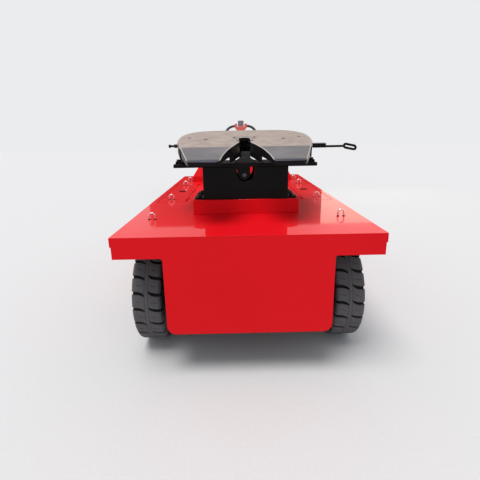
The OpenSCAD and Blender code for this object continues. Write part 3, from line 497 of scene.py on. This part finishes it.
def lugged_tyre(side, turn):
    """Section swept round the axle. In each pitch the columns follow the groove's middle line;
    between its edges the radius drops to the groove's floor and the shoulder moves inwards, and
    a slit drops the lug's middle by a few millimetres. The marks, for painted shade, are 1 in
    grooves, slits and notches, and less along the rib's edges."""
    half = np.array(SECTION, float)
    loop = np.concatenate([half, (half * (1, -1))[-2:0:-1]])
    radius, across = loop[:, 0], loop[:, 1]
    reach, hand = np.abs(across), np.sign(across)
    rib, bend = GROOVE_LINE[0, :2]
    line = -hand * np.interp(reach, GROOVE_LINE[:, 0], GROOVE_LINE[:, 1])
    line = np.where(reach < rib, -across / rib * bend, line)
    line *= np.clip((radius - BEAD_R) / LEAN, 0, 1)
    width = np.interp(reach, GROOVE_LINE[:, 0], GROOVE_LINE[:, 2])
    place, share, groove, slit = COLUMNS.T
    offset = line[:, None] + place + share * width[:, None]
    opens = np.clip((reach - rib) / GROOVE_EASE, 0, 1) * (radius > GROOVE_FROM)
    in_groove = groove * opens[:, None]
    in_slit = slit * ((reach > SLIT_FROM) & (reach < SLIT_TO) & (radius > SLIT_R))[:, None]
    deepens = np.clip((radius - NOTCH_R) / NOTCH_RISE, 0, 1) * (reach > NOTCH_ACROSS)
    in_notch = groove * deepens[:, None]
    drop = radius - np.minimum(radius, GROOVE_FLOOR)
    depth = in_groove * drop[:, None] + in_slit * SLIT_DEPTH
    # The mark is for painted shade: partial along the rib's edges, full in open grooves, slits and
    # notches
    rib_edge_shade = RIB_SHADE * ((reach > rib) & (reach < RIB_OUT) & (radius > RIB_R))[:, None]
    mark = np.maximum(in_groove * (radius > GROOVE_FLOOR)[:, None], in_slit)
    mark = np.maximum(np.maximum(mark, rib_edge_shade), in_notch)
    start = (np.arange(PITCHES) + 0.5) / PITCHES * 2 * math.pi - turn
    angle = start[None, :, None] + (offset / TREAD_R)[:, None, :]
    r = (radius[:, None] - depth)[:, None, :]
    x = (across[:, None] - hand[:, None] * in_notch * NOTCH_DEPTH)[:, None, :] + side * AXLE[0]
    y, z = AXLE[1] + r * np.sin(angle), AXLE[2] - r * np.cos(angle)
    verts = np.stack([np.broadcast_to(x, angle.shape), y, z], -1).reshape(-1, 3) * MM
    marks = np.broadcast_to(mark[:, None, :], angle.shape).ravel()
    return verts, grid_faces(len(loop), PITCHES * len(COLUMNS)), marks


def repeated(faces, count, times):
    """The faces of a form with a count of corners, for each time that it stands there."""
    return [[corner + count * n for corner in face] for n in range(times) for face in faces]


def turned(section, centres, steps=128):
    """A closed section of (radius, across) turned round axes along X, one for each centre."""
    angle = around(steps)
    r, a = np.array(section, float).T[:, :, None]
    ring = np.stack([a + 0 * angle, r * np.sin(angle), -r * np.cos(angle)], -1).reshape(-1, 3)
    verts = (np.array(centres, float)[:, None] + ring).reshape(-1, 3) * MM
    return verts, repeated(grid_faces(len(section), steps), len(ring), len(centres))


def capped(rings):
    """Quads between following rings of corners, with a cap over each end."""
    count, sides = rings.shape[:2]
    i, j = np.meshgrid(np.arange(count - 1), np.arange(sides), indexing="ij")
    a, k = i + 1, (j + 1) % sides
    quads = [i * sides + j, i * sides + k, a * sides + k, a * sides + j]
    last = (count - 1) * sides
    caps = [list(range(sides))[::-1], list(range(last, last + sides))]
    return rings.reshape(-1, 3) * MM, np.stack(quads, -1).reshape(-1, 4).tolist() + caps


# Shape of a nut: the height of its shoulder and the width of its top, as shares
NUT_SHOULDER, NUT_TOP = 0.8, 0.84


def hexagons(places, way, radius, height):
    """Six-sided nuts that stand on places along one way: a hexagon at the foot, one at the
    shoulder, and a smaller one on top."""
    way = np.array(way, float)
    side = np.cross(way, (0, 0, 1.0) if abs(way[2]) < 0.5 else (0, 1.0, 0))
    up = np.cross(way, side)
    angle = around(6)
    ring = (np.cos(angle)[:, None] * side + np.sin(angle)[:, None] * up) * radius
    rings = [ring, ring + way * height * NUT_SHOULDER, ring * NUT_TOP + way * height]
    verts, faces = capped(np.stack(rings))
    count = len(verts)
    verts = (np.array(places, float)[:, None] * MM + verts).reshape(-1, 3)
    return verts, repeated(faces, count, len(places))


def knob(centre, radii, rows=11, sides=24, pole=1.45):
    """Ellipsoid: circles whose radius is the cosine of the latitude, capped close to each pole."""
    lat = np.linspace(-pole, pole, rows)[:, None]
    turn = around(sides)
    unit = [np.cos(lat) * np.cos(turn), np.cos(lat) * np.sin(turn), np.sin(lat) + 0 * turn]
    return capped(np.array(centre) + np.stack(unit, -1) * radii)


def hoop(path, across, radius, sides=14):
    """Tube round a closed plane curve: a circle at each point, in the plane of the curve's own
    normal and the direction across the curve."""
    along = np.roll(path, -1, axis=0) - np.roll(path, 1, axis=0)
    along /= np.linalg.norm(along, axis=1)[:, None]
    out = np.cross(along, across)[:, None]
    turn = around(sides)[:, None]
    rings = path[:, None] + radius * (np.cos(turn) * out + np.sin(turn) * np.array(across))
    return rings.reshape(-1, 3) * MM, grid_faces(len(path), sides)


def plate_place(x, v, w):
    """Points in the frame from places on the fifth wheel: across, along and above its pivot."""
    y = PIVOT[0] / MM + v * math.cos(PLATE_TILT) - w * math.sin(PLATE_TILT)
    z = PIVOT[1] / MM + v * math.sin(PLATE_TILT) + w * math.cos(PLATE_TILT)
    return np.stack(np.broadcast_arrays(x, y, z), -1)


# The right tyre stands a little further round than the left. Wheel nuts: how many, the radius of
# their circle, the turn of the first, and their radius and height
RIGHT_TURN = math.radians(3.0)
NUTS, NUT_CIRCLE, NUT_TURN, NUT_R, NUT_H = 8, 66, 0.2, 13, 15

for side, word in SIDES:
    verts, faces, marks = lugged_tyre(side, RIGHT_TURN * max(side, 0))
    tyre = piece("lugged_tyre_" + word, verts, faces, "wheel_" + word, "tyre")
    # The groove mark carries the painted shade of grooves, slits, notches and the rib's edges
    tyre.data.attributes.new("groove", "FLOAT", "POINT").data.foreach_set("value", marks)
    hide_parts("tyre_" + word)
    angle = around(NUTS) + NUT_TURN
    seats = [np.full(NUTS, side * AXLE[0]), AXLE[1] + NUT_CIRCLE * np.cos(angle),
             AXLE[2] + NUT_CIRCLE * np.sin(angle)]
    piece("wheel_nuts_" + word, *hexagons(np.stack(seats, -1), (side, 0, 0), NUT_R, NUT_H),
          "wheel_" + word, "worn_steel")

# Half of a steered tyre's section, radius and across, and the middles of the two
STEER_SECTION = [(206, 0), (206, 30), (206, 48), (205.2, 53), (203, 57), (199, 61), (194.5, 64),
                 (188, 66), (176, 68), (160, 69), (146, 68), (136, 66.4), (121, 65), (120.2, 60),
                 (120.2, 0)]
STEER_CENTRES = [(-89, 975, 206), (89, 975, 206)]
steer_loop = STEER_SECTION + [(r, -a) for r, a in STEER_SECTION[-2:0:-1]]
steered = piece("steered_tyres", *turned(steer_loop, STEER_CENTRES), "front_wheels", "tyre")
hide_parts("front_tyres")


# Small parts on the deck, the column, the fifth wheel and the tiller

# Nuts on the feet of the wire loops: the deck's top, how far out a loop is and how far from its
# middle a foot, a nut's radius and height, and the loops' places across and along, by body
DECK_TOP = 810.0
LOOP_X, FOOT_X = 575, 18
LOOP_NUT_R, LOOP_NUT_H = 8.5, 4.5
LOOP_PLACES = {"chassis": ((-LOOP_X, LOOP_X), (-888, 819)), "lid_left": ((-LOOP_X,), (-268, 483)),
               "lid_right": ((LOOP_X,), (-268, 483))}
for body, (xs, ys) in LOOP_PLACES.items():
    feet = [(x + step, y, DECK_TOP) for x in xs for y in ys for step in (-FOOT_X, FOOT_X)]
    nuts = hexagons(feet, (0, 0, 1), LOOP_NUT_R, LOOP_NUT_H)
    piece("loop_nuts_" + body, *nuts, body, "black_paint")

CORNERS = np.array([(-1, -1), (1, -1), (1, 1), (-1, 1)], float)


def lining(centre, half, wall, low, high):
    """Square tube that lines an opening: down its outside and up its inside, open at both ends."""
    reach = np.array([half, half, half - wall, half - wall])
    verts = np.empty((4, 4, 3))
    verts[..., :2] = centre + CORNERS * reach[:, None, None]
    verts[..., 2] = np.array([high, low, low, high])[:, None]
    return verts.reshape(-1, 3) * MM, grid_faces(4, 4)


def block(low, high):
    """Box between two corners: its outline at the bottom and at the top, capped."""
    low, high = np.array(low, float), np.array(high, float)
    outline = np.where(CORNERS > 0, high[:2], low[:2])
    rings = [np.column_stack([outline, np.full(4, level)]) for level in (low[2], high[2])]
    return capped(np.stack(rings))


# Finger cups: place across and along, half width, wall, lower and upper edge
CUP_X, CUP_Y, CUP_HALF, CUP_WALL, CUP_LOW, CUP_HIGH = 552, 125, 30.9, 1.5, 804.5, 810.8
for side, word in SIDES:
    cup = lining((side * CUP_X, CUP_Y), CUP_HALF, CUP_WALL, CUP_LOW, CUP_HIGH)
    piece("finger_cup_" + word, *cup, "lid_" + word, "black_plastic")

# Buffer on the tilt stop: its lowest and highest corner. Nut on the lug: place, radius, height
BUFFER = (-24, -664, 1160), (36, -590, 1193)
LUG_NUT_PLACE, LUG_NUT_R, LUG_NUT_H = (-7, -746, 1052), 14.5, 5
piece("stop_buffer", *block(*BUFFER), "chassis", "black_plastic")
lug_nut = hexagons([LUG_NUT_PLACE], (0, -1, 0), LUG_NUT_R, LUG_NUT_H)
piece("lug_nut", *lug_nut, "chassis", "wheel_paint")

# Plugs on the floors of the fifth wheel's grease holes: the floor over the pivot, a plug's radius
# and height
HOLE_FLOOR, PLUG_R, PLUG_H = FACE_W - 6.0, 10.6, 1.4
wells = [plate_place(side * x, v, HOLE_FLOOR) for side, _ in SIDES for x, v in GREASE_HOLES]
piece("grease_plugs", *hexagons(wells, UP, PLUG_R, PLUG_H), "fifth_wheel", "black_paint")

# Ends of the jaw's pins: the corners of one, across and along, and its foot and top
PIN_X, PIN_V = np.array([36, 55, 55, 36]), np.array([-50, -50, -32, -32])
PIN_W = (66.0, FACE_W + 0.5)
for side, word in SIDES:
    pin = capped(np.array([plate_place(side * PIN_X, PIN_V, w) for w in PIN_W]))
    piece("jaw_pin_end_" + word, *pin, "fifth_wheel", "black_paint")

# Sleeve round the pull ring: an oval of two half circles, leaning outwards. Its place, lean,
# where each half circle has its middle, their lengths and width, and the sleeve's radius
RING_X, RING_V, RING_W, RING_LEAN = 655.0, -113.0, 40.0, math.radians(12)
RING_FAR, RING_NEAR = (29.0, 11.0), (-23.0, 12.5)
RING_WIDE, SLEEVE_R = 12.0, 7.4
turn = around(32)
outer_half = np.cos(turn) > 0
u = np.where(outer_half, RING_FAR[0], RING_NEAR[0])
u = u + np.where(outer_half, RING_FAR[1], RING_NEAR[1]) * np.cos(turn)
t = RING_WIDE * np.sin(turn)
ring_w = RING_W - u * math.sin(RING_LEAN) + t * math.cos(RING_LEAN)
ring_path = plate_place(RING_X + u * math.cos(RING_LEAN), RING_V, ring_w)
piece("ring_sleeve", *hoop(ring_path, BACK, SLEEVE_R), "fifth_wheel", "black_paint")

# Thumb knobs on the tiller's head: how far out one is, along and up, and its three radii
THUMB_X, THUMB_Y, THUMB_Z = 57, 1045, 1406
THUMB_RADII = (18, 16, 22)
for side, word in SIDES:
    thumb = knob((side * THUMB_X, THUMB_Y, THUMB_Z), THUMB_RADII)
    piece("thumb_knob_" + word, *thumb, "tiller", "red_paint", HEAD_RED)


# Camera

# Its place, heading, dip and roll, its lens and sensor, and the shift that the framing needs
CAMERA_PLACE = (-0.055, -2.814, 1.304)
CAMERA_YAW, CAMERA_PITCH, CAMERA_ROLL = 0.0076, 0.2376, 0.0172
LENS, SENSOR, SHIFT_Y = 24.45, 36.0, -0.0552


def camera():
    """The photo's camera, worked out from the deck, the panel and the fifth wheel."""
    yaw, pitch, roll = CAMERA_YAW, CAMERA_PITCH, CAMERA_ROLL
    level = Vector((math.cos(yaw), -math.sin(yaw), 0))
    ahead = Vector((math.sin(yaw) * math.cos(pitch), math.cos(yaw) * math.cos(pitch),
                    -math.sin(pitch)))
    low = ahead.cross(level)
    right = math.cos(roll) * level + math.sin(roll) * low
    down = math.cos(roll) * low - math.sin(roll) * level
    data = bpy.data.cameras.new("camera")
    data.sensor_width = SENSOR
    data.lens = LENS
    data.shift_y = SHIFT_Y
    cam = bpy.data.objects.new("camera", data)
    turn = Matrix((right, -down, -ahead)).transposed().to_4x4()
    cam.matrix_world = Matrix.Translation(CAMERA_PLACE) @ turn
    bpy.context.scene.collection.objects.link(cam)
    bpy.context.scene.camera = cam


# Light and floor

# Half the floor's width
FLOOR_HALF = 30.0
# Boards in front of the tug, which only show as gloss on the deck: how far ahead they stand, the
# dark one's left, right and top, and the lit one's size and its height over the floor
BOARD_Y = 5.0
FLAG_LEFT, FLAG_RIGHT, FLAG_TOP = -2.2, 2.0, 2.52
CARD_WIDE, CARD_TALL, CARD_LOW = 2.6, 2.2, 0.3
# Strengths: the surround's own, what is added where it is seen, the key lamp and the lit board
WORLD, WORLD_SEEN, KEY, CARD = 0.86, 0.2, 2.85, 27
# The way that the key lamp shines, and its spread
KEY_WAY, KEY_SPREAD = (1.2, 1.3, -6.0), math.radians(30)


def lamp(name, kind, energy, colour, way, place=(0, 0, 0)):
    """A lamp at a place that shines along a way."""
    data = bpy.data.lights.new(name, kind)
    data.energy = energy
    data.color = colour
    obj = bpy.data.objects.new(name, data)
    obj.location = place
    obj.rotation_euler = Vector(way).to_track_quat("-Z", "Y").to_euler()
    bpy.context.scene.collection.objects.link(obj)
    return obj


def board(name, corners, finish):
    """The studio's floor or a board, flat between four corners."""
    mesh = bpy.data.meshes.new(name)
    mesh.from_pydata(corners, [], [(0, 1, 2, 3)])
    mesh.materials.append(finish.material)
    obj = bpy.data.objects.new(name, mesh)
    bpy.context.scene.collection.objects.link(obj)
    return obj


def surround():
    """A pale world, a little paler where the camera, gloss or glass sees it."""
    world = bpy.data.worlds.new("surround")
    bpy.context.scene.world = world
    world.use_nodes = True
    back = world.node_tree.nodes["Background"]
    root = Sock(world.node_tree)
    camera_ray, glossy_ray, through_ray = [root.add("LightPath", out=i) for i in (0, 3, 6)]
    seen = camera_ray.larger(glossy_ray).larger(through_ray)
    root.feed(back.inputs["Color"], seen.blend(rgb(0.93, 0.96, 1.0), rgb(0.78, 0.79, 0.8)))
    root.feed(back.inputs["Strength"], WORLD + WORLD_SEEN * seen)


def studio():
    """A pale floor in a pale surround, a soft key lamp, and the two boards for the deck's gloss."""
    surround()
    pale = Finish("pale_floor")
    pale.link(Base_Color=pale.noise(60.0, 4.0).blend(rgb(0.47, 0.47, 0.48), rgb(0.52, 0.52, 0.53)))
    pale.set(Roughness=0.85)
    board("floor", [(x * FLOOR_HALF, y * FLOOR_HALF, 0) for x, y in CORNERS], pale)
    cloth = Finish("flag_cloth")
    cloth.link(Base_Color=cloth.noise(3.0, 4.0).blend(rgb(0.01, 0.008, 0.006),
                                                      rgb(0.06, 0.045, 0.035)))
    cloth.set(Roughness=0.9, Specular_IOR_Level=0.1)
    flag = board("flag", [(FLAG_LEFT, BOARD_Y, 0), (FLAG_RIGHT, BOARD_Y, 0),
                          (FLAG_RIGHT, BOARD_Y, FLAG_TOP), (FLAG_LEFT, BOARD_Y, FLAG_TOP)], cloth)
    flag.visible_camera = flag.visible_diffuse = flag.visible_shadow = False
    key = lamp("key", "SUN", KEY, (1.0, 0.97, 0.93), KEY_WAY)
    key.data.angle = KEY_SPREAD
    card = lamp("card", "AREA", CARD, (1.0, 0.76, 0.56), (0, -1, 0),
                (FLAG_RIGHT + CARD_WIDE / 2, BOARD_Y, CARD_LOW + CARD_TALL / 2))
    card.data.shape = "RECTANGLE"
    card.data.size, card.data.size_y = CARD_WIDE, CARD_TALL
    card.visible_camera = card.visible_diffuse = False


camera()
studio()
bpy.context.scene.view_settings.view_transform = "Standard"
